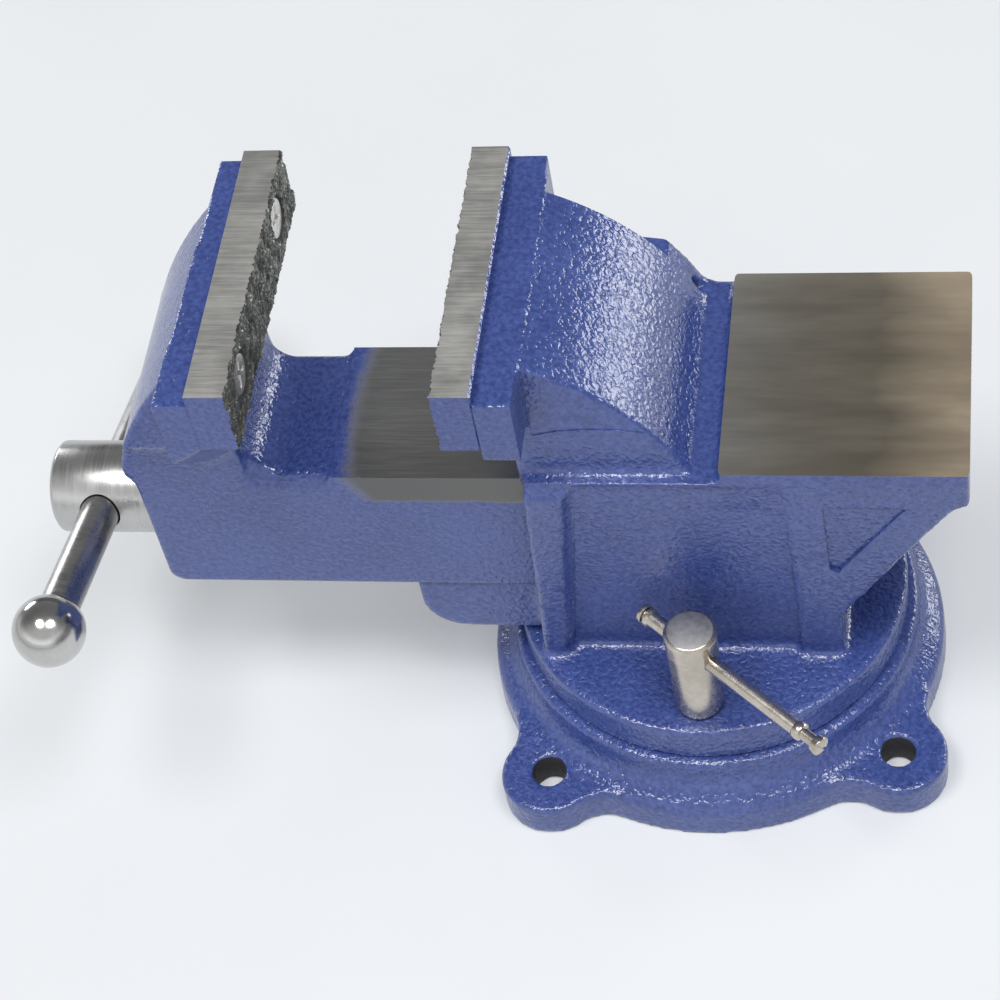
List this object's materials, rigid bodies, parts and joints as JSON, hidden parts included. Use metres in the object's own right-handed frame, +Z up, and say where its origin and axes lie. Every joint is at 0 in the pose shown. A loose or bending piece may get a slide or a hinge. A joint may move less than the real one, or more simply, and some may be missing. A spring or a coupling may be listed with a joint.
{
  "type": "bench vise",
  "caption": "Cast iron bench vise with serrated jaw plates, a rear anvil, a sliding handle bar with ball ends and a lockable swivel base with bolt lugs.",
  "frame": {"origin": "on the swivel axis, in the plane of the bench under the base", "axes": "+X along the slide towards the anvil, +Y to the far side, +Z up"},
  "size_m": [0.2972, 0.2069, 0.188],
  "materials": {
    "blue_enamel": "glossy hammered blue enamel on cast iron, machined faces bare",
    "ground_steel": "ground with cross-cut serrations on the working face",
    "turned_steel": "turned bright steel",
    "polished_steel": "polished",
    "zinc_plate": "satin zinc plate",
    "black_steel": "blackened steel",
    "raw_iron": "raw cast iron"
  },
  "bodies": {
    "base": {"swivel_base": "blue_enamel"},
    "vise_body": {"fixed_body": "blue_enamel", "fixed_jaw_plate": "ground_steel", "fixed_jaw_screws": "zinc_plate", "main_nut": "raw_iron", "nut_bolt": "black_steel", "nut_washer": "zinc_plate", "clamp_ring": "raw_iron", "lock_bolts": "black_steel"},
    "sliding_jaw": {"movable_jaw": "blue_enamel", "movable_jaw_plate": "ground_steel", "movable_jaw_screws": "zinc_plate"},
    "spindle": {"lead_screw": "turned_steel", "thrust_washer": "zinc_plate", "return_spring": "black_steel", "retaining_collar": "black_steel", "collar_pin": "zinc_plate"},
    "handle": {"handle_bar": "turned_steel", "handle_ball_near": "polished_steel", "handle_ball_far": "polished_steel"},
    "near_lock_nut": {"lock_nut_near": "zinc_plate"},
    "near_lock_bar": {"lock_bar_near": "zinc_plate"},
    "far_lock_nut": {"lock_nut_far": "zinc_plate"},
    "far_lock_bar": {"lock_bar_far": "zinc_plate"}
  },
  "joints": [
    {"name": "swivel", "type": "hinge", "parent": "base", "child": "vise_body", "pos_m": [0, 0, 0.027], "axis": [0, 0, 1], "continuous": true},
    {"name": "jaw_slide", "type": "slide", "parent": "vise_body", "child": "sliding_jaw", "axis": [1, 0, 0], "range_m": [-0.0412, 0.0584]},
    {"name": "screw_turn", "type": "hinge", "parent": "sliding_jaw", "child": "spindle", "pos_m": [-0.17, 0, 0.0841], "axis": [1, 0, 0], "range_deg": [-3690, 5238]},
    {"name": "handle_slide", "type": "slide", "parent": "spindle", "child": "handle", "axis": [0, -0.9681, 0.2504], "range_m": [-0.047, 0.083]},
    {"name": "near_lock_turn", "type": "hinge", "parent": "vise_body", "child": "near_lock_nut", "pos_m": [0, -0.052, 0.06], "axis": [0, 0, 1], "range_deg": [0, 42]},
    {"name": "near_lock_bar_slide", "type": "slide", "parent": "near_lock_nut", "child": "near_lock_bar", "axis": [0.766, -0.6428, 0], "range_m": [0, 0.0085]},
    {"name": "far_lock_turn", "type": "hinge", "parent": "vise_body", "child": "far_lock_nut", "pos_m": [0, 0.052, 0.06], "axis": [0, 0, 1], "range_deg": [0, 42]},
    {"name": "far_lock_bar_slide", "type": "slide", "parent": "far_lock_nut", "child": "far_lock_bar", "axis": [-0.766, 0.6428, 0], "range_m": [0, 0.0085]}
  ],
  "couplings": [
    {"joint": "jaw_slide", "follows": "screw_turn", "m_per_rad": 0.00063662}
  ]
}
